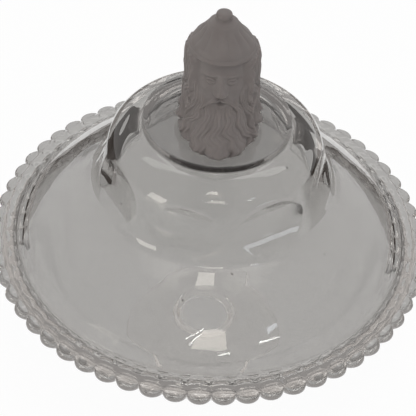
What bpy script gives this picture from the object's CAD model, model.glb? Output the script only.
import bpy
import math
import numpy as np
from mathutils import Matrix, Vector


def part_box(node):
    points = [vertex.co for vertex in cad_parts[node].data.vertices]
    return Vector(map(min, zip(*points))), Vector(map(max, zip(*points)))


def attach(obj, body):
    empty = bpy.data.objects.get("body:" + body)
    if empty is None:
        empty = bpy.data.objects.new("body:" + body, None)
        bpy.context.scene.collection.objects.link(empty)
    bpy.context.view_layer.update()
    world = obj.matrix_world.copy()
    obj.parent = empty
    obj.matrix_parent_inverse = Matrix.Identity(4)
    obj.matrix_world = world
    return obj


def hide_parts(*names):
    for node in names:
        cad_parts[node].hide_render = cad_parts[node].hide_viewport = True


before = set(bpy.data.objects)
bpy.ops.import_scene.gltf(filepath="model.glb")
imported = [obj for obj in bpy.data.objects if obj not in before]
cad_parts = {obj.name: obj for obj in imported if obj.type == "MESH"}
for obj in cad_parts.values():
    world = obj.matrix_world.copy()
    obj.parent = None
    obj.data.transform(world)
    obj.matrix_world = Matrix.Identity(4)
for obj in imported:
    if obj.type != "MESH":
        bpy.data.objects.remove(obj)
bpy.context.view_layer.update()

# Covered compote of pressed glass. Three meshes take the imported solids' places: the cover with its lobed
# rim and soft panels, the carved finial, and bowl, wafer and foot as one run of glass.
# The frame is in metres; the pieces' own sizes are in mm.

mm = 0.001
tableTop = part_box("cover")[1][2]       # the cover's top, on which the finial stands


# Nodes and meshes that more than one piece uses
def plug(tree, socket, value):
    if isinstance(value, bpy.types.NodeSocket):
        tree.links.new(value, socket)
    else:
        socket.default_value = value


def nodeMath(tree, operation, *values):
    node = tree.nodes.new("ShaderNodeMath")
    node.operation = operation
    for socket, value in zip(node.inputs, values):
        plug(tree, socket, value)
    return node.outputs[0]


def mixColor(tree, share, low, high):
    node = tree.nodes.new("ShaderNodeMix")
    node.data_type = "RGBA"
    for k, value in ((0, share), (6, low), (7, high)):       # 6 and 7 are its two colours
        plug(tree, node.inputs[k], value)
    return node.outputs[2]


def smoothRamp(tree, value, low, high):
    node = tree.nodes.new("ShaderNodeMapRange")
    node.interpolation_type = "SMOOTHSTEP"
    for name, given in (("Value", value), ("From Min", low), ("From Max", high)):
        plug(tree, node.inputs[name], given)
    return node.outputs[0]


def objectPlace(tree):
    node = tree.nodes.new("ShaderNodeSeparateXYZ")
    tree.links.new(tree.nodes.new("ShaderNodeTexCoord").outputs["Object"], node.inputs[0])
    return node.outputs


def makeMaterial(name):
    material = bpy.data.materials.new(name)
    material.use_nodes = True
    tree = material.node_tree
    return material, tree, tree.nodes["Principled BSDF"]


def setShader(shader, values):
    for name, value in values.items():
        shader.inputs[name].default_value = value


def useGroup(tree, group, **values):
    node = tree.nodes.new("ShaderNodeGroup")
    node.node_tree = group
    for name, value in values.items():
        node.inputs[name].default_value = value
    return node.outputs[0]


def addBump(tree, shader, height, distance, strength):
    node = tree.nodes.new("ShaderNodeBump")
    node.inputs["Distance"].default_value = distance
    node.inputs["Strength"].default_value = strength
    tree.links.new(height, node.inputs["Height"])
    tree.links.new(node.outputs[0], shader.inputs["Normal"])


def meshObject(name, vertices, faces):
    mesh = bpy.data.meshes.new(name)
    mesh.from_pydata([tuple(v) for v in vertices], [], [tuple(f) for f in faces])
    mesh.update()
    thing = bpy.data.objects.new(name, mesh)
    bpy.context.scene.collection.objects.link(thing)
    return thing


def smoothObject(name, vertices, faces, material):
    thing = meshObject(name, vertices, faces)
    thing.data.polygons.foreach_set("use_smooth", [True] * len(thing.data.polygons))
    thing.data.materials.append(material)
    return thing


def joinRings(rings):                  # a pole is a ring that names one vertex all round
    faces = []
    for lower, upper in zip(rings, rings[1:]):
        for k in range(len(lower)):
            nextK = (k + 1) % len(lower)
            corners = (lower[k], lower[nextK], upper[nextK], upper[k])
            faces.append(tuple(dict.fromkeys(corners)))
    return faces


def smoothLine(points, count):         # a spline that is drawn to the points, in about count steps
    data = bpy.data.curves.new("scratchLine", "CURVE")
    data.dimensions = "3D"
    spline = data.splines.new("NURBS")
    spline.points.add(len(points) - 1)
    for spot, (radius, height) in zip(spline.points, points):
        spot.co = (radius, 0, height, 1)
    spline.order_u = 4
    spline.use_endpoint_u = True
    spline.resolution_u = max(2, count // (len(points) - 1) + 1)
    thing = bpy.data.objects.new("scratchLine", data)
    mesh = bpy.data.meshes.new_from_object(thing)
    line = [(v.co.x, v.co.z) for v in mesh.vertices]
    bpy.data.objects.remove(thing)
    bpy.data.curves.remove(data)
    bpy.data.meshes.remove(mesh)
    return line


# Effects of both kinds of glass
def waveGroup():
    group = bpy.data.node_groups.new("handMadeWaves", "ShaderNodeTree")
    group.interface.new_socket("Scale", in_out="INPUT", socket_type="NodeSocketFloat")
    group.interface.new_socket("Height", in_out="OUTPUT", socket_type="NodeSocketFloat")
    given = group.nodes.new("NodeGroupInput")
    done = group.nodes.new("NodeGroupOutput")
    place = group.nodes.new("ShaderNodeTexCoord")
    noise = group.nodes.new("ShaderNodeTexNoise")
    noise.inputs["Detail"].default_value = 2.0
    group.links.new(place.outputs["Object"], noise.inputs["Vector"])
    group.links.new(given.outputs["Scale"], noise.inputs["Scale"])
    group.links.new(noise.outputs["Fac"], done.inputs["Height"])
    return group


def bubbleGroup():                     # a few small round seeds, far apart
    group = bpy.data.node_groups.new("seedBubbles", "ShaderNodeTree")
    for name in ("Scale", "Size", "Share"):
        group.interface.new_socket(name, in_out="INPUT", socket_type="NodeSocketFloat")
    group.interface.new_socket("Mask", in_out="OUTPUT", socket_type="NodeSocketFloat")
    given = group.nodes.new("NodeGroupInput")
    done = group.nodes.new("NodeGroupOutput")
    place = group.nodes.new("ShaderNodeTexCoord")
    cells = group.nodes.new("ShaderNodeTexVoronoi")
    group.links.new(place.outputs["Object"], cells.inputs["Vector"])
    group.links.new(given.outputs["Scale"], cells.inputs["Scale"])
    near = nodeMath(group, "LESS_THAN", cells.outputs["Distance"], given.outputs["Size"])
    split = group.nodes.new("ShaderNodeSeparateColor")
    group.links.new(cells.outputs["Color"], split.inputs[0])
    few = nodeMath(group, "LESS_THAN", split.outputs[0], given.outputs["Share"])
    group.links.new(nodeMath(group, "MULTIPLY", near, few), done.inputs["Mask"])
    return group


# Clear glass. Its grey counts only at the first walls that a ray passes, so that many walls in a row stay
# clear, and rays that are mirrored on and on inside it end in a weak glow instead of black.
glass = {"color": (0.39, 0.382, 0.37, 1), "domeColor": (0.345, 0.337, 0.325, 1),
         "tableColor": (0.15, 0.143, 0.138, 1), "deepColor": (0.985, 0.98, 0.975, 1),
         "domeStart": 28.0, "domeFull": 42.0,       # mm over the rim plane, where the glass gets thicker
         "tableSkin": 0.3, "tintedWalls": 2,             # the round table's grey lies on its top
         "bubbleColor": (0.05, 0.045, 0.04, 1), "bubbleScale": 95.0, "bubbleSize": 0.055,
         "bubbleShare": 0.16,
         "glowColor": (1.0, 0.95, 0.92, 1), "glow": 0.13, "glowAfter": 2,
         "footGlow": 0.38, "footTop": 50.0, "footWalls": 2,        # light runs on longest in the foot
         "roughness": 0.012, "ior": 1.5, "waveScale": 42.0, "waveDepth": 0.2}


def clearGlass(waves, bubbles):
    material, tree, shader = makeMaterial("clearPressedGlass")
    path = tree.nodes.new("ShaderNodeLightPath").outputs
    height = objectPlace(tree)[2]
    dome = smoothRamp(tree, height, rimPlane + glass["domeStart"] * mm, rimPlane + glass["domeFull"] * mm)
    body = mixColor(tree, dome, glass["color"], glass["domeColor"])
    table = nodeMath(tree, "GREATER_THAN", height, tableTop - glass["tableSkin"] * mm)
    body = mixColor(tree, table, body, glass["tableColor"])
    spots = useGroup(tree, bubbles, Scale=glass["bubbleScale"], Size=glass["bubbleSize"],
                     Share=glass["bubbleShare"])
    body = mixColor(tree, spots, body, glass["bubbleColor"])
    deep = nodeMath(tree, "GREATER_THAN", path["Transmission Depth"], glass["tintedWalls"] - 0.5)
    tree.links.new(mixColor(tree, deep, body, glass["deepColor"]), shader.inputs["Base Color"])
    low = nodeMath(tree, "LESS_THAN", height, glass["footTop"] * mm)
    within = nodeMath(tree, "GREATER_THAN", path["Transmission Depth"], glass["footWalls"] + 0.5)
    low = nodeMath(tree, "MULTIPLY", low, within)
    glow = nodeMath(tree, "MULTIPLY_ADD", low, glass["footGlow"] - glass["glow"], glass["glow"])
    trapped = nodeMath(tree, "GREATER_THAN", path["Glossy Depth"], glass["glowAfter"] + 0.5)
    tree.links.new(nodeMath(tree, "MULTIPLY", trapped, glow), shader.inputs["Emission Strength"])
    setShader(shader, {"Emission Color": glass["glowColor"], "Roughness": glass["roughness"],
                       "IOR": glass["ior"], "Transmission Weight": 1.0})
    addBump(tree, shader, useGroup(tree, waves, Scale=glass["waveScale"]), glass["waveDepth"] * mm, 1.0)
    return material


# Acid-frosted glass of the finial, cloudy, paler where it turns away
frost = {"color": (0.134, 0.117, 0.113, 1), "edgeColor": (0.215, 0.195, 0.19, 1), "edgeBlend": 0.35,
         "cloudScale": 130.0, "cloudShare": 0.5, "cloudShift": 0.2, "roughness": 0.55,
         "soft": 0.5, "softReach": 3.0, "softTint": (1.0, 0.9, 0.85),
         "grain": 2600.0, "grainDepth": 0.03, "grainStrength": 0.6}


def frostedGlass(waves):
    material, tree, shader = makeMaterial("frostedGlass")
    edge = tree.nodes.new("ShaderNodeLayerWeight")
    edge.inputs["Blend"].default_value = frost["edgeBlend"]
    cloud = useGroup(tree, waves, Scale=frost["cloudScale"])
    share = nodeMath(tree, "MULTIPLY_ADD", cloud, frost["cloudShare"], edge.outputs["Facing"])
    share = nodeMath(tree, "SUBTRACT", share, frost["cloudShift"])
    clamp = tree.nodes.new("ShaderNodeClamp")
    tree.links.new(share, clamp.inputs[0])
    color = mixColor(tree, clamp.outputs[0], frost["color"], frost["edgeColor"])
    tree.links.new(color, shader.inputs["Base Color"])
    setShader(shader, {"Roughness": frost["roughness"], "IOR": glass["ior"],
                       "Subsurface Weight": frost["soft"], "Subsurface Radius": frost["softTint"],
                       "Subsurface Scale": frost["softReach"] * mm})
    grain = useGroup(tree, waves, Scale=frost["grain"])
    addBump(tree, shader, grain, frost["grainDepth"] * mm, frost["grainStrength"])
    return material


# The cover's outside and inside are one closed line of rows, radius and height over the rim plane.
# Each row says how far it takes part in what the tree makes of the line: bead: how far it shrinks
# between two beads; out, drop: how far it moves there; petal: how far it follows the slanted petals;
# rib: the fine ribs; panel: whether the panels cut it.
coverShape = {"tableRadius": 35.1, "tableHeight": 74.6, "tableStep": 4.4, "tableRound": 0.7,
              "tableRings": (17.0, 1.6),         # rows on the table, from its middle and in from its edge
              "stepWall": (0.03, 2.0),           # out from the table's edge and down from its top
              "stepFoot": [(0.05, 0.9), (0.25, 0.3), (0.9, 0.02)],       # out from there, up from the foot
              "wallTop": (52.0, 57.0), "wallFoot": (57.0, 39.5), "flangeStart": (60.5, 34.0),
              "flangeLean": 33.0, "flangeStraight": 7.0, "flangeWall": 4.8, "flangeEnd": (96.3, 4.1),
              "groove": [(96.45, 3.9), (96.65, 3.2), (96.95, 2.7), (97.35, 2.75), (97.6, 3.4),
                         (97.85, 3.65)],
              "band": [                # radius, height, bead, out, drop, petal, rib
                  (98.2, 3.55, 0, 0, 0, 0, 0.4),
                  (99.2, 3.65, 0, 0, 0, 0, 0.9),
                  (100.4, 3.8, 0, 0, 0, 0.15, 1.0),
                  (101.5, 3.9, 0, 0, 0, 0.45, 0.8),
                  (102.4, 3.98, 0, 0, 0, 0.75, 0.3),
                  (102.85, 4.02, 0, 0, 0, 0.85, 0),
                  (103.1, 3.9, 0, 0, 0, 0.85, 0),
                  (103.3, 3.62, 0, 0, 0, 1.0, 0),
                  (103.65, 3.52, 0, 0.25, 0.35, 0.7, 0),
                  (104.05, 3.4, 0, 0.6, 0.9, 0.3, 0),
                  (104.3, 3.32, 0, 0.8, 1.25, 0.05, 0),
                  (104.55, 3.3, 0, 0.9, 1.5, 0, 0),
                  (104.78, 3.12, 0, 0.9, 1.5, 0, 0),
                  (104.95, 2.82, 0.2, 0.75, 1.3, 0, 0),
                  (105.25, 2.68, 0.6, 0.75, 1.2, 0, 0)],
              "beadCount": 60, "beadSteps": 12, "beadCentre": (104.3, -0.55), "beadRadius": 5.7,
              "beadHeight": 3.45, "beadStart": 68.0, "beadEnd": -90.0,
              "beadOut": 0.7, "beadDrop": 1.35, "beadLift": 0.4,
              "seat": [(102.0, -4.0), (96.9, -4.0), (96.6, -4.15), (96.5, -4.5)],
              "guide": [(96.5, -6.1), (96.1, -6.5), (94.4, -6.5), (94.0, -6.1)],
              "insideWall": [(49.8, 38.6), (47.6, 44.5), (46.4, 50.0), (44.9, 55.2), (42.2, 59.8),
                             (38.2, 63.6), (33.2, 66.6), (27.5, 68.2)],
              "ceiling": [(21, 68.6), (14, 68.6), (7, 68.6), (0, 68.6)],
              "petalReach": 1.0, "petalRise": 0.9, "petalShift": 0.65, "petalPeak": 0.6, "ribDepth": 0.4,
              "panelCount": 8, "panelTurn": 32.2, "panelScoop": 30.0, "panelTop": (50.5, 61.0),
              "softEdge": 0.25, "mergeDistance": 0.004,
              "rows": {"edge": 3, "shoulder": 15, "wall": 12, "cove": 9, "straight": 4, "flange": 9,
                       "bead": 12, "inside": 18}}
rimPlane = tableTop - coverShape["tableHeight"] * mm     # middle plane of the rim's beads


def arcBetween(start, end, tangent, count):      # leaves start along the tangent and ends in end
    sx, sy = start
    ex, ey = end
    tx, ty = tangent
    length = math.hypot(tx, ty)
    nx, ny = -ty / length, tx / length
    dx, dy = ex - sx, ey - sy
    radius = (dx * dx + dy * dy) / (2 * (dx * nx + dy * ny))
    cx, cy = sx + nx * radius, sy + ny * radius
    first = math.atan2(sy - cy, sx - cx)
    turn = math.atan2(ey - cy, ex - cx) - first
    turn = turn % (2 * math.pi) if radius > 0 else -((-turn) % (2 * math.pi))
    angles = [first + turn * k / count for k in range(1, count + 1)]
    return [(cx + abs(radius) * math.cos(a), cy + abs(radius) * math.sin(a)) for a in angles]


def lineBetween(start, end, count):
    return [(start[0] + (end[0] - start[0]) * k / count, start[1] + (end[1] - start[1]) * k / count)
            for k in range(1, count + 1)]


def plainRows(points, panel=0.0):
    return [(radius, height, 0, 0, 0, 0, 0, panel) for radius, height in points]


def beadRows():
    shape = coverShape
    sweep, count = shape["beadEnd"] - shape["beadStart"], shape["rows"]["bead"]
    rows = []
    for k in range(count + 1):
        turn = math.radians(shape["beadStart"] + sweep * k / count)
        up, down = max(0.0, math.sin(turn)), max(0.0, -math.sin(turn))
        rows.append((shape["beadCentre"][0] + shape["beadRadius"] * math.cos(turn),
                     shape["beadCentre"][1] + shape["beadHeight"] * math.sin(turn), 1.0,
                     shape["beadOut"] * up, shape["beadDrop"] * up - shape["beadLift"] * down, 0, 0, 0))
    return rows


def tableRows():
    shape = coverShape
    top, edge, radius = shape["tableHeight"], shape["tableRound"], shape["tableRadius"]
    foot = top - shape["tableStep"]
    middle, ring = shape["tableRings"]
    points = [(0, top), (middle, top), (radius - ring, top), (radius - edge, top)]
    points += arcBetween((radius - edge, top), (radius, top - edge), (1, 0), shape["rows"]["edge"])
    points.append((radius + shape["stepWall"][0], top - shape["stepWall"][1]))
    points += [(radius + out, foot + up) for out, up in shape["stepFoot"]]
    return plainRows(points)


def coverRows():
    shape, counts = coverShape, coverShape["rows"]
    lean = math.radians(shape["flangeLean"])
    wallTop, wallFoot, start = shape["wallTop"], shape["wallFoot"], shape["flangeStart"]
    run = (wallFoot[0] - wallTop[0], wallFoot[1] - wallTop[1])
    straight = shape["flangeStraight"]
    bend = (start[0] + straight * math.cos(lean), start[1] - straight * math.sin(lean))
    flange = arcBetween(bend, shape["flangeEnd"], (math.cos(lean), -math.sin(lean)), counts["flange"])
    rows = tableRows()
    rows += plainRows(arcBetween(rows[-1][:2], wallTop, (1, 0), counts["shoulder"]), panel=1)
    rows += plainRows(lineBetween(wallTop, wallFoot, counts["wall"]), panel=1)
    rows += plainRows(arcBetween(wallFoot, start, run, counts["cove"]), panel=1)
    rows += plainRows(lineBetween(start, bend, counts["straight"]), panel=1)
    rows += plainRows(flange + shape["groove"])
    rows += [(*row, 0) for row in shape["band"]]
    rows += beadRows()
    rows += plainRows(shape["seat"] + shape["guide"])
    wall = shape["flangeWall"]
    under = []                         # the flange's underside lies one wall within its top
    for before, (radius, height), after in zip([bend] + flange, flange, flange[1:]):
        along, up = after[0] - before[0], after[1] - before[1]
        size = math.hypot(along, up)
        spot = (radius + up / size * wall, height - along / size * wall)
        if spot[0] < shape["guide"][-1][0] - 1:
            under.append(spot)
    rows += plainRows(under[::-1])
    inward = (-math.sin(lean) * wall, -math.cos(lean) * wall)
    rows += plainRows([(bend[0] + inward[0], bend[1] + inward[1])])
    wallStart = (start[0] + inward[0], start[1] + inward[1])
    rows += plainRows(smoothLine([wallStart] + shape["insideWall"], counts["inside"]) + shape["ceiling"])
    return rows


def pressedCoverTree(material):
    tree = bpy.data.node_groups.new("pressedCover", "GeometryNodeTree")
    face = tree.interface
    face.new_socket("Geometry", in_out="OUTPUT", socket_type="NodeSocketGeometry")
    face.new_socket("Geometry", in_out="INPUT", socket_type="NodeSocketGeometry")
    numbers = ["Row Count", "Steps", "Bead Count", "Panel Count"]
    sizes = ["Bead Ring Radius", "Bead Radius", "Notch Depth", "Petal Reach", "Petal Rise", "Petal Shift",
             "Petal Peak", "Rib Depth", "Panel Turn", "Scoop Radius", "Scoop Centre Radius",
             "Scoop Centre Height", "Soft Edge", "Merge Distance"]
    for name in numbers:
        face.new_socket(name, in_out="INPUT", socket_type="NodeSocketInt")
    for name in sizes:
        face.new_socket(name, in_out="INPUT", socket_type="NodeSocketFloat")
    add = tree.nodes.new
    link = tree.links.new
    given = add("NodeGroupInput").outputs
    done = add("NodeGroupOutput")

    def calc(operation, *values):
        return nodeMath(tree, operation, *values)

    grid = add("GeometryNodeMeshGrid")
    columns = calc("ADD", given["Steps"], 1)
    link(given["Row Count"], grid.inputs["Vertices X"])
    link(columns, grid.inputs["Vertices Y"])
    index = add("GeometryNodeInputIndex").outputs[0]
    row = calc("FLOOR", calc("DIVIDE", calc("ADD", index, 0.5), columns))
    column = calc("SUBTRACT", index, calc("MULTIPLY", row, columns))
    turn = calc("DIVIDE", column, given["Steps"])
    angle = calc("MULTIPLY", turn, 2 * math.pi)

    def sample(kind, value):
        node = add("GeometryNodeSampleIndex")
        node.data_type = kind
        link(given["Geometry"], node.inputs["Geometry"])
        link(value, node.inputs["Value"])
        link(row, node.inputs["Index"])
        return node.outputs[0]

    def share(name):
        node = add("GeometryNodeInputNamedAttribute")
        node.data_type = "FLOAT"
        node.inputs["Name"].default_value = name
        return sample("FLOAT", node.outputs[0])

    place = add("ShaderNodeSeparateXYZ")
    link(sample("FLOAT_VECTOR", add("GeometryNodeInputPosition").outputs[0]), place.inputs[0])
    radius, height = place.outputs[0], place.outputs[2]
    # beads: rows on the bead ring draw in between two beads, and their tops sink there
    pitch = calc("MULTIPLY", turn, given["Bead Count"])
    away = calc("SUBTRACT", calc("FRACT", calc("ADD", pitch, 0.5)), 0.5)
    halfAngle = calc("DIVIDE", calc("MULTIPLY", away, math.pi), given["Bead Count"])
    sideways = calc("MULTIPLY", calc("MULTIPLY", calc("SINE", halfAngle), 2), given["Bead Ring Radius"])
    left = calc("SUBTRACT", calc("POWER", given["Bead Radius"], 2), calc("MULTIPLY", sideways, sideways))
    lobe = calc("DIVIDE", calc("SQRT", calc("MAXIMUM", left, 0)), given["Bead Radius"])
    grow = calc("ADD", calc("MULTIPLY", calc("SUBTRACT", lobe, 1), share("bead")), 1)
    radius = calc("MULTIPLY_ADD", calc("SUBTRACT", radius, given["Bead Ring Radius"]), grow,
                  given["Bead Ring Radius"])
    notch = calc("DIVIDE", calc("SUBTRACT", 1, lobe), given["Notch Depth"])
    radius = calc("MULTIPLY_ADD", notch, share("out"), radius)
    height = calc("SUBTRACT", height, calc("MULTIPLY", notch, share("drop")))
    # slanted petals over the beads, then the fine ribs inside them
    shifted = calc("ADD", pitch, given["Petal Shift"])
    saw = calc("FRACT", shifted)
    falling = calc("DIVIDE", calc("SUBTRACT", 1, saw), calc("SUBTRACT", 1, given["Petal Peak"]))
    petal = calc("MINIMUM", calc("DIVIDE", saw, given["Petal Peak"]), falling)
    petal = calc("MULTIPLY", petal, share("petal"))
    radius = calc("SUBTRACT", radius, calc("MULTIPLY", petal, given["Petal Reach"]))
    height = calc("ADD", height, calc("MULTIPLY", petal, given["Petal Rise"]))
    wave = calc("COSINE", calc("MULTIPLY", shifted, 2 * math.pi))
    height = calc("ADD", height, calc("MULTIPLY", calc("MULTIPLY", wave, share("rib")), given["Rib Depth"]))
    # thumbprint panels: a level cylinder scoops each one
    turned = calc("DIVIDE", calc("SUBTRACT", angle, given["Panel Turn"]), 2 * math.pi)
    spot = calc("MULTIPLY", turned, given["Panel Count"])
    off = calc("SUBTRACT", calc("FRACT", calc("ADD", spot, 0.5)), 0.5)
    offAngle = calc("DIVIDE", calc("MULTIPLY", off, 2 * math.pi), given["Panel Count"])
    under = calc("SUBTRACT", height, given["Scoop Centre Height"])
    inside = calc("SUBTRACT", calc("POWER", given["Scoop Radius"], 2), calc("MULTIPLY", under, under))
    reach = calc("SUBTRACT", given["Scoop Centre Radius"], calc("SQRT", calc("MAXIMUM", inside, 0)))
    reach = calc("DIVIDE", reach, calc("COSINE", offAngle))
    scooped = calc("SMOOTH_MIN", radius, reach, given["Soft Edge"])
    panel = share("panel")
    plain = calc("MULTIPLY", radius, calc("SUBTRACT", 1, panel))
    radius = calc("ADD", calc("MULTIPLY", scooped, panel), plain)
    spread = add("ShaderNodeCombineXYZ")
    link(calc("MULTIPLY", radius, calc("COSINE", angle)), spread.inputs[0])
    link(calc("MULTIPLY", radius, calc("SINE", angle)), spread.inputs[1])
    link(height, spread.inputs[2])
    move = add("GeometryNodeSetPosition")
    link(grid.outputs["Mesh"], move.inputs["Geometry"])
    link(spread.outputs[0], move.inputs["Position"])
    merge = add("GeometryNodeMergeByDistance")           # closes the seam and both poles
    link(given["Merge Distance"], merge.inputs["Distance"])
    link(move.outputs[0], merge.inputs["Geometry"])
    smooth = add("GeometryNodeSetShadeSmooth")
    link(merge.outputs[0], smooth.inputs["Geometry"])
    realize = add("GeometryNodeRealizeInstances")
    link(smooth.outputs[0], realize.inputs[0])
    paint = add("GeometryNodeSetMaterial")
    paint.inputs["Material"].default_value = material
    link(realize.outputs[0], paint.inputs["Geometry"])
    link(paint.outputs[0], done.inputs[0])
    return tree


def coverInputs(rowCount):
    shape = coverShape
    halfPitch = 2 * shape["beadCentre"][0] * math.sin(math.pi / 2 / shape["beadCount"])
    top, foot = Vector(shape["panelTop"]), Vector(shape["flangeStart"])
    chord = foot - top
    normal = Vector((-chord.y, chord.x)).normalized()
    centre = (top + foot) / 2 + normal * math.sqrt(shape["panelScoop"] ** 2 - (chord.length / 2) ** 2)
    return {"Row Count": rowCount, "Steps": shape["beadCount"] * shape["beadSteps"],
            "Bead Count": shape["beadCount"], "Panel Count": shape["panelCount"],
            "Bead Ring Radius": shape["beadCentre"][0] * mm, "Bead Radius": shape["beadRadius"] * mm,
            "Notch Depth": 1 - math.sqrt(1 - (halfPitch / shape["beadRadius"]) ** 2),
            "Petal Reach": shape["petalReach"] * mm, "Petal Rise": shape["petalRise"] * mm,
            "Petal Shift": shape["petalShift"], "Petal Peak": shape["petalPeak"],
            "Rib Depth": shape["ribDepth"] * mm, "Panel Turn": math.radians(shape["panelTurn"] - 90),
            "Scoop Radius": shape["panelScoop"] * mm, "Scoop Centre Radius": centre.x * mm,
            "Scoop Centre Height": rimPlane + centre.y * mm, "Soft Edge": shape["softEdge"] * mm,
            "Merge Distance": shape["mergeDistance"] * mm}


def makeCover(material):
    rows = coverRows()
    line = meshObject("coverLine", [(row[0] * mm, 0, rimPlane + row[1] * mm) for row in rows], [])
    scales = {"bead": 1, "out": mm, "drop": mm, "petal": 1, "rib": 1, "panel": 1}
    for k, (name, scale) in enumerate(scales.items()):
        layer = line.data.attributes.new(name, "FLOAT", "POINT")
        layer.data.foreach_set("value", [row[2 + k] * scale for row in rows])
    modifier = line.modifiers.new("pressedCover", "NODES")
    modifier.node_group = pressedCoverTree(material)
    values = coverInputs(len(rows))
    for item in modifier.node_group.interface.items_tree:
        if item.name in values:
            modifier[item.identifier] = values[item.name]
    bpy.context.view_layer.update()
    made = bpy.data.meshes.new_from_object(line.evaluated_get(bpy.context.evaluated_depsgraph_get()))
    cover = bpy.data.objects.new("pressedCover", made)
    bpy.context.scene.collection.objects.link(cover)
    bpy.data.objects.remove(line)
    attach(cover, "cover_body")
    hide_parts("cover")
    print("cover:", len(rows), "rows,", len(made.polygons), "faces")


# The finial's outline is level ellipses, mm over the table: height, half width, half depth, middle.
# On it stands a carving in mm, worked out over the angle from the front and the height.
headShape = {"sections": [(0.0, 15.8, 17.0, -3.0), (3.0, 17.0, 18.8, -3.6), (8.0, 16.8, 19.4, -4.0),
                          (14.0, 15.6, 18.4, -3.6), (20.0, 15.1, 17.6, -2.6), (27.0, 15.4, 17.0, -1.2),
                          (34.0, 15.9, 16.8, -0.2), (39.0, 15.3, 16.0, 0.1), (42.0, 14.5, 15.0, 0.2),
                          (44.9, 13.1, 13.5, 0.2), (48.2, 10.2, 10.5, 0.2), (51.4, 7.8, 8.0, 0.2),
                          (53.6, 6.6, 6.7, 0.1), (54.6, 5.4, 5.4, 0.0), (55.1, 4.0, 4.0, 0.0),
                          (55.8, 3.5, 3.5, 0.0), (57.2, 3.7, 3.7, 0.0), (58.3, 3.4, 3.4, 0.0),
                          (58.8, 2.6, 2.6, 0.0), (59.0, 1.4, 1.4, 0.0)],
             "columns": 360, "rowStep": 0.24, "knobFoot": 54.0, "knobTop": 59.0, "knobRows": 26,
             "easing": 10, "easedTo": 53.5, "aside": 0.7, "asideFull": 30.0, "asideEnd": 48.0, "sink": 0.25,
             "brim": 40.8, "capStrands": 14.0, "capStrandDepth": 0.4,
             "hairFrom": 0.72, "hairFull": 0.95, "locks": 13.0, "lockDepth": 1.5, "strands": 41.0,
             "strandDepth": 0.5,
             "faceDepth": 1.3, "brow": 35.2, "eye": 32.4, "eyeAside": 5.2, "noseBase": 26.2,
             "noseHeight": 3.1, "mouth": 22.9, "moustacheDepth": 1.5, "beardTop": 21.0, "beardSide": 0.86,
             "beardLocks": 15.0, "beardStrands": 46.0, "beardReach": 9.5, "beardReachHeight": 9.0}


def bump(value, middle, width):
    return np.exp(-((value - middle) / width) ** 2)


def rise(value, low, high):
    t = np.clip((value - low) / (high - low), 0, 1)
    return t * t * (3 - 2 * t)


def ridges(phase, power):
    return np.abs(np.cos(phase / 2)) ** power


def capCarving(angle, height):         # round cap with a rolled edge
    brim = headShape["brim"]
    carving = 0.3 * rise(height, brim - 0.3, brim + 0.4) * (1 - rise(height, 44, 50))
    carving += 0.2 * bump(height, brim + 0.5, 0.9)
    carving -= 0.15 * bump(height, brim + 1.9, 0.4)
    strands = ridges(angle * headShape["capStrands"] + 0.6 * np.sin(height * 0.5), 0.8) - 0.5
    onCap = rise(height, brim + 2.5, brim + 5) * (1 - rise(height, 50, 53))
    return carving + headShape["capStrandDepth"] * strands * onCap


def hairCarving(angle, height):        # locks in slow waves, finer strands on them, their ends turned out
    side = np.abs(angle)
    wave = 0.16 * np.sin(height * 0.30 + 1.3) + 0.07 * np.sin(height * 0.62 + 0.4)
    sweep = angle - np.sign(angle) * wave
    locks = ridges(sweep * headShape["locks"] + 0.4 * np.sin(height * 0.21), 0.6)
    strands = ridges(sweep * headShape["strands"] + 1.4 * np.sin(height * 0.45 + side * 5.0), 0.8)
    turnOut = 1.7 * bump(height, 5.5, 4.0) + 0.9 * bump(height, 20.0, 6.0)
    carving = 0.9 + headShape["lockDepth"] * (locks - 0.5) + headShape["strandDepth"] * (strands - 0.5)
    return rise(side, headShape["hairFrom"], headShape["hairFull"]) * (carving + turnOut * locks)


def faceCarving(angle, height, radius):          # calm, on even thirds: hairline, brow, nose base, chin
    brow, eye, noseBase, mouth = (headShape[key] for key in ("brow", "eye", "noseBase", "mouth"))
    x = radius * np.sin(angle)
    aside = np.abs(x)
    face = (1 - rise(np.abs(angle), 0.66, 0.86)) * rise(height, 17, 22)
    carving = np.full_like(height, -headShape["faceDepth"])
    carving += 0.95 * bump(aside, 4.6, 3.4) * bump(height, brow + 0.6 * np.cos(x * 0.3), 1.25)
    carving -= 1.4 * bump(aside, 5.4, 2.6) * bump(height, eye + 0.1, 1.7)          # eye sockets
    fromEye = aside - headShape["eyeAside"]
    ball = 1 - (fromEye / 2.5) ** 2 - ((height - eye) / 1.75) ** 2
    carving += (np.cos(angle) > 0) * 1.15 * np.clip(ball, 0, 1) ** 0.7
    lids = bump(fromEye, 0, 2.2)
    lidLine = eye + 0.55 - 0.10 * fromEye ** 2
    carving += lids * (0.4 * bump(height, lidLine + 0.4, 0.45) - 0.25 * bump(height, lidLine - 0.15, 0.3))
    carving += lids * 0.25 * bump(height, eye - 0.75 + 0.06 * fromEye ** 2, 0.4)
    carving += 0.9 * bump(aside, 8.3, 2.8) * bump(height, 28.2, 3.0)         # cheeks
    length = np.clip((brow - height) / (brow - noseBase - 1.2), 0, 1)
    noseEnds = rise(height, noseBase - 0.5, noseBase + 1.3) * (1 - rise(height, brow, brow + 2.5))
    bridge = (0.8 + headShape["noseHeight"] * length ** 1.3) * noseEnds
    carving += bridge * np.exp(-(aside / (1.3 + 1.1 * length)) ** 2.2)
    carving += bump(aside, 2.2, 1.0) * bump(height, noseBase + 1.1, 1.0)           # the nose's wings
    carving += bump(x, 0, 2.4) * bump(height, mouth - 1.3, 0.65)         # lower lip
    carving -= bump(x, 0, 3.2) * bump(height, mouth, 0.45)
    return face * carving


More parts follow.
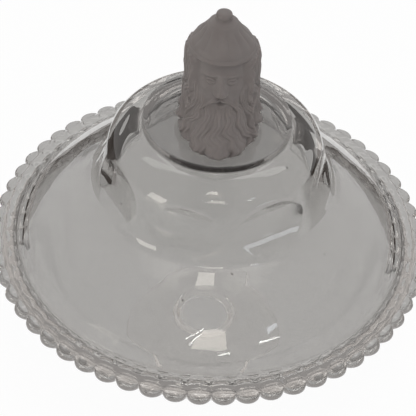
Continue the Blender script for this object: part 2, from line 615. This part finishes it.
def moustacheCarving(angle, height, radius):     # two sweeps from under the nose, their strands along them
    along = np.abs(radius * np.sin(angle))
    middle = headShape["noseBase"] - 1.5 - 0.10 * along ** 1.85
    thick = 1.7 * np.clip(1.15 - along / 13.0, 0.3, 1)
    sweep = bump(height, middle, thick) * (1 - rise(along, 6.0, 9.5)) * (np.cos(angle) > 0)
    fine = ridges((height - middle) * 4.4 + along * 0.4, 0.8)
    parting = 0.35 + 0.65 * rise(along, 0.0, 1.2)
    return sweep * (headShape["moustacheDepth"] + 0.6 * (fine - 0.5)) * parting


def beardCarving(angle, height):       # parted strands fanning out from the chin; also gives its locks
    side = np.abs(angle)
    edge = headShape["beardSide"]
    top = headShape["beardTop"] + 13.0 * np.clip(side / edge, 0, 1) ** 2.2
    beard = (1 - rise(height, top - 3.2, top + 0.8)) * (1 - rise(side, edge, edge + 0.16))
    drop = np.clip(22 - height, 0, 22)
    fan = angle / (0.55 + 0.023 * drop)
    fan = fan - 0.06 * np.sin(drop * 0.42 + 0.9 * np.sin(fan * 3)) - 0.035 * np.sin(drop * 0.95 + fan * 6)
    locks = ridges(fan * headShape["beardLocks"] + 0.6, 0.7)
    strands = ridges(fan * headShape["beardStrands"] + np.sin(drop * 0.7), 0.8)
    carving = 0.25 + locks + 0.7 * (strands - 0.5) + 1.2 * bump(height, 3.4, 3.2) * locks
    return beard * carving, locks


def headCarving(angle, height, radius):
    belowBrim = 1 - rise(height, headShape["brim"] - 0.5, headShape["brim"] + 0.2)
    beard, locks = beardCarving(angle, height)
    carving = capCarving(angle, height) + moustacheCarving(angle, height, radius) + beard
    carving += belowBrim * (hairCarving(angle, height) + faceCarving(angle, height, radius))
    carving *= 1 - 0.6 * (1 - rise(height, 0, 1.2))
    # the beard's ends sweep out over the table
    forward = np.clip(np.cos(angle * 1.4), 0, 1) * (np.abs(angle) < 1.12)
    reach = headShape["beardReach"] * np.exp(-(height / headShape["beardReachHeight"]) ** 1.5)
    return carving + reach * forward ** 1.8 * (0.93 + 0.09 * locks)


def headOutline(heights):              # half width, half depth and middle at each height, corners eased
    stations = np.array(headShape["sections"])
    eased = (heights < headShape["easedTo"]) & (heights > 0)
    lines = []
    for column in (1, 2, 3):
        line = np.interp(heights, stations[:, 0], stations[:, column])
        for _ in range(headShape["easing"]):
            soft = line.copy()
            soft[1:-1] = (line[:-2] + 2 * line[1:-1] + line[2:]) / 4
            line = np.where(eased, soft, line)
        lines.append(line[:, None])
    return lines


def makeFinial(material):
    shape = headShape
    bodyRows = round(shape["knobFoot"] / shape["rowStep"])
    heights = np.concatenate([np.arange(bodyRows) * shape["rowStep"],
                              np.linspace(shape["knobFoot"], shape["knobTop"], shape["knobRows"])])
    wide, deep, middle = headOutline(heights)
    count = shape["columns"]
    angle, height = np.meshgrid(np.arange(count) / count * 2 * np.pi - np.pi, heights)
    radius = 1 / np.sqrt((np.sin(angle) / wide) ** 2 + (np.cos(angle) / deep) ** 2)
    radius = radius + headCarving(angle, height, radius)
    x = radius * np.sin(angle) + shape["aside"] * (1 - rise(height, shape["asideFull"], shape["asideEnd"]))
    y = middle - radius * np.cos(angle)
    z = height - shape["sink"] * (height <= 0)
    vertices = np.stack([x * mm, y * mm, tableTop + z * mm], axis=-1).reshape(-1, 3).tolist()
    rings = np.arange(len(vertices)).reshape(-1, count).tolist()
    foot, tip = len(vertices), len(vertices) + 1
    vertices.append((0, middle[0, 0] * mm, tableTop - shape["sink"] * mm))
    vertices.append((0, 0, tableTop + shape["knobTop"] * mm))
    rings = [[foot] * count] + rings + [[tip] * count]
    finial = smoothObject("carvedHead", vertices, joinRings(rings), material)
    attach(finial, "cover_body")
    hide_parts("finial")
    print("finial:", len(finial.data.polygons), "faces")


# Bowl, wafer and foot as one run of glass, radius and height over the surface that it stands on
baseShape = {"columns": 192, "outsideSteps": 118, "insideSteps": 48,
             "foot": [(0, 6.0), (8, 5.8), (18, 4.5), (27, 2.0), (32.3, 0.2), (33.2, 0), (42.6, 0),
                      (43.7, 0.5), (44.0, 1.3), (44.0, 3.0), (43.4, 3.6), (40, 4.4), (33, 6.3), (27, 8.8),
                      (22, 11.0)],
             "stem": [(16.5, 13.2), (12.6, 14.8), (12.2, 16.2), (13.6, 17.6), (15.6, 18.8), (16.1, 20.0)],
             "bowl": [(17.2, 21.1), (21, 21.7), (26.2, 22.3), (35.2, 24.0), (44.1, 26.6), (52.6, 30.2),
                      (60.6, 34.7), (68.2, 39.9), (75.4, 45.7), (81.9, 52.3), (87.6, 59.5), (92.6, 67.2),
                      (97.4, 75.1), (102.1, 82.3)],
             "lip": [(102.45, 83.0), (101.5, 83.95), (100.5, 84.0), (99.5, 83.95), (98.55, 83.1)],
             "inside": [(98.1, 82.1), (93.5, 77.5), (88.7, 69.6), (83.8, 62.1), (78.4, 55.3), (72.3, 49.1),
                        (65.5, 43.5), (58.2, 38.6), (50.5, 34.4), (42.5, 31.0), (34.2, 28.4), (25.5, 26.8),
                        (16.8, 26.0), (8, 26.0), (0, 26.0)]}


def makeBase(material):
    shape = baseShape
    line = smoothLine(shape["foot"] + shape["stem"] + shape["bowl"], shape["outsideSteps"])
    line += shape["lip"] + smoothLine(shape["inside"], shape["insideSteps"])
    count = shape["columns"]
    vertices, rings = [], []
    for radius, height in line:
        if radius < 0.01:
            rings.append([len(vertices)] * count)
            vertices.append((0, 0, height * mm))
            continue
        rings.append(list(range(len(vertices), len(vertices) + count)))
        for k in range(count):
            turn = 2 * math.pi * k / count
            vertices.append((radius * math.cos(turn) * mm, radius * math.sin(turn) * mm, height * mm))
    base = smoothObject("bowlOnFoot", vertices, joinRings(rings), material)
    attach(base, "compote_base")
    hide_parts("bowl", "wafer", "foot")
    print("base:", len(base.data.polygons), "faces")


# Camera at the photograph's viewing angle, in degrees, metres and the lens's own mm
camera = {"elevation": 44.42, "roll": 3.79, "distance": 0.613, "lens": 103.85, "sensor": 36.0,
          "aimRight": -0.0009, "aimUp": 0.0101, "clipStart": 0.01, "clipEnd": 20}


def addCamera():
    data = bpy.data.cameras.new("photoCamera")
    thing = bpy.data.objects.new("photoCamera", data)
    bpy.context.scene.collection.objects.link(thing)
    data.lens = camera["lens"]
    data.sensor_width = camera["sensor"]
    data.sensor_fit = "HORIZONTAL"
    data.clip_start = camera["clipStart"]
    data.clip_end = camera["clipEnd"]
    elevation, roll = math.radians(camera["elevation"]), math.radians(camera["roll"])
    back = Vector((0, -math.cos(elevation), math.sin(elevation)))
    level = Vector((1, 0, 0))
    upright = back.cross(level)
    right = level * math.cos(roll) + upright * math.sin(roll)
    up = upright * math.cos(roll) - level * math.sin(roll)
    aim = Vector((0, 0, rimPlane))
    place = aim + right * camera["aimRight"] + up * camera["aimUp"] + back * camera["distance"]
    thing.matrix_world = Matrix.Translation(place) @ Matrix((right, up, back)).transposed().to_4x4()
    bpy.context.scene.camera = thing


# What the glass mirrors, far off round the front of the rim: corners as azimuth and elevation in degrees,
# then colour and strength. Cards whose names start with rear throw no light on the frosted glass and the
# floor, and the ceiling lamp does only that.
studio = {"worldStrength": 0.62, "floorWhite": 0.96, "floorColor": (0.8, 0.8, 0.79, 1), "floorHalf": 3.0,
          "floorRoughness": 0.9, "cardDistance": 1.5, "cardCentre": -0.06}
cards = [
    ("creamWindow", [(-6.5, 38.6), (14, 38.2), (14.5, 46.2), (1, 46.8)], (1.0, 0.95, 0.86), 4.5),
    ("windowHigh", [(-12, 65), (10, 65), (12, 75), (-4, 75)], (1.0, 0.96, 0.88), 6.0),
    ("windowFrame", [(-10.9, 41.6), (-10.5, 41.5), (0.9, 47.2), (0.6, 47.4)], (1.0, 1.0, 0.98), 20.0),
    ("windowFrameLow", [(-8.0, 39.9), (-7.5, 39.7), (4.0, 46.7), (3.7, 47.0)], (1.0, 1.0, 0.98), 20.0),
    ("windowSill", [(9.8, 36.4), (16.0, 36.2), (16.1, 36.8), (9.9, 37.0)], (1.0, 1.0, 0.96), 13.0),
    ("stripRight", [(35, 37.1), (47, 35.2), (47, 35.5), (35, 37.8)], (1.0, 1.0, 0.98), 16.0),
    ("blueWindow", [(41, 39.2), (49, 39.5), (49, 41.4), (42, 41.6)], (0.86, 0.92, 1.0), 5.0),
    ("rearStripLeft", [(122, 50), (180, 50), (180, 60), (122, 60)], (1.0, 0.99, 0.97), 2.5),
    ("rearStripRight", [(180, 50), (238, 50), (238, 60), (180, 60)], (1.0, 0.99, 0.97), 2.5),
    ("sideWindow", [(-64, -2), (-44, -2), (-44, 16), (-60, 16)], (1.0, 0.97, 0.9), 5.0),
    ("sideWindowRight", [(46, 3), (66, 3), (62, 10), (48, 10)], (0.9, 0.95, 1.0), 4.0),
    ("ceilingLamp", [(-10, 62), (32, 63), (165, 78), (195, 78)], (1.0, 0.97, 0.92), 6.0),
]
# A dark table, in metres, behind and beside the pale ground under the compote, seen in the glass only
darkTable = {"color": (1.0, 0.84, 0.76), "glow": 0.08, "height": 0.002, "outer": 1.6, "side": 0.2,
             "back": 0.36, "front": -0.03, "fade": 0.07}


def addCard(name, spots, color, glow):
    card = meshObject(name, spots, [(0, 1, 2, 3)])
    material, tree, shader = makeMaterial(name)
    tree.nodes.remove(shader)
    light = tree.nodes.new("ShaderNodeEmission")
    light.inputs["Color"].default_value = (*color, 1)
    light.inputs["Strength"].default_value = glow
    tree.links.new(light.outputs[0], tree.nodes["Material Output"].inputs["Surface"])
    card.data.materials.append(material)
    card.visible_camera = False
    card.visible_shadow = False
    card.visible_diffuse = not name.startswith("rear")
    card.visible_glossy = card.visible_transmission = name != "ceilingLamp"
    return tree, light


def addSkyCards():
    for name, corners, color, glow in cards:
        spots = []
        for azimuth, elevation in corners:
            a, e = math.radians(azimuth), math.radians(elevation)
            way = Vector((math.sin(a) * math.cos(e), -math.cos(a) * math.cos(e), math.sin(e)))
            spots.append(Vector((0, studio["cardCentre"], rimPlane)) + way * studio["cardDistance"])
        addCard(name, spots, color, glow)


def addDarkTable():
    side, back, front, outer, z = (darkTable[key] for key in ("side", "back", "front", "outer", "height"))
    pale = (studio["floorWhite"],) * 3 + (1,)
    dark = tuple(part * darkTable["glow"] for part in darkTable["color"]) + (1,)
    strips = {"rearTableLeft": (-outer, -side, front, outer), "rearTableRight": (side, outer, front, outer),
              "rearTableBack": (-side, side, back, outer)}
    for name, (left, right, near, far) in strips.items():
        corners = [(left, near, z), (right, near, z), (right, far, z), (left, far, z)]
        tree, light = addCard(name, corners, darkTable["color"], 1.0)
        share = smoothRamp(tree, objectPlace(tree)[1], front, front + darkTable["fade"])
        plug(tree, light.inputs["Color"], mixColor(tree, share, pale, dark))


def rayShare(tree):                    # 1 for the camera's rays and those that metal and glass send on
    path = tree.nodes.new("ShaderNodeLightPath").outputs
    seen = nodeMath(tree, "MAXIMUM", path["Is Camera Ray"], path["Is Glossy Ray"])
    return nodeMath(tree, "MAXIMUM", seen, path["Is Transmission Ray"])


def mixShaders(tree, share, low, high, output):
    mix = tree.nodes.new("ShaderNodeMixShader")
    for socket, value in zip(mix.inputs, (share, low.outputs[0], high.outputs[0])):
        tree.links.new(value, socket)
    tree.links.new(mix.outputs[0], tree.nodes[output].inputs["Surface"])


def addFloor():
    half = studio["floorHalf"]
    floor = meshObject("floor", [(-half, -half, 0), (half, -half, 0), (half, half, 0), (-half, half, 0)],
                       [(0, 1, 2, 3)])
    material, tree, shader = makeMaterial("paleFloor")
    setShader(shader, {"Base Color": studio["floorColor"], "Roughness": studio["floorRoughness"],
                       "Specular IOR Level": 0.0})
    white = tree.nodes.new("ShaderNodeEmission")
    white.inputs["Strength"].default_value = 1.0
    share = nodeMath(tree, "MULTIPLY", rayShare(tree), studio["floorWhite"])
    mixShaders(tree, share, shader, white, "Material Output")
    floor.data.materials.append(material)


def addWorld():
    world = bpy.data.worlds.new("studioWorld")
    bpy.context.scene.world = world
    world.use_nodes = True
    tree = world.node_tree
    ground = tree.nodes["Background"]
    ground.inputs["Color"].default_value = (1, 1, 1, 1)
    ground.inputs["Strength"].default_value = studio["worldStrength"]
    white = tree.nodes.new("ShaderNodeBackground")
    white.inputs["Strength"].default_value = 1.0
    mixShaders(tree, rayShare(tree), ground, white, "World Output")


waves = waveGroup()
clear = clearGlass(waves, bubbleGroup())
frosted = frostedGlass(waves)
for name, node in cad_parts.items():
    node.data.materials.clear()
    node.data.materials.append(frosted if name == "finial" else clear)
print("glass:", clear.name, "and", frosted.name)
makeCover(clear)
makeFinial(frosted)
makeBase(clear)
addCamera()
addFloor()
addWorld()
addSkyCards()
addDarkTable()
print("studio:", len(cards), "cards and a dark table")
bpy.context.scene.view_settings.view_transform = "Standard"
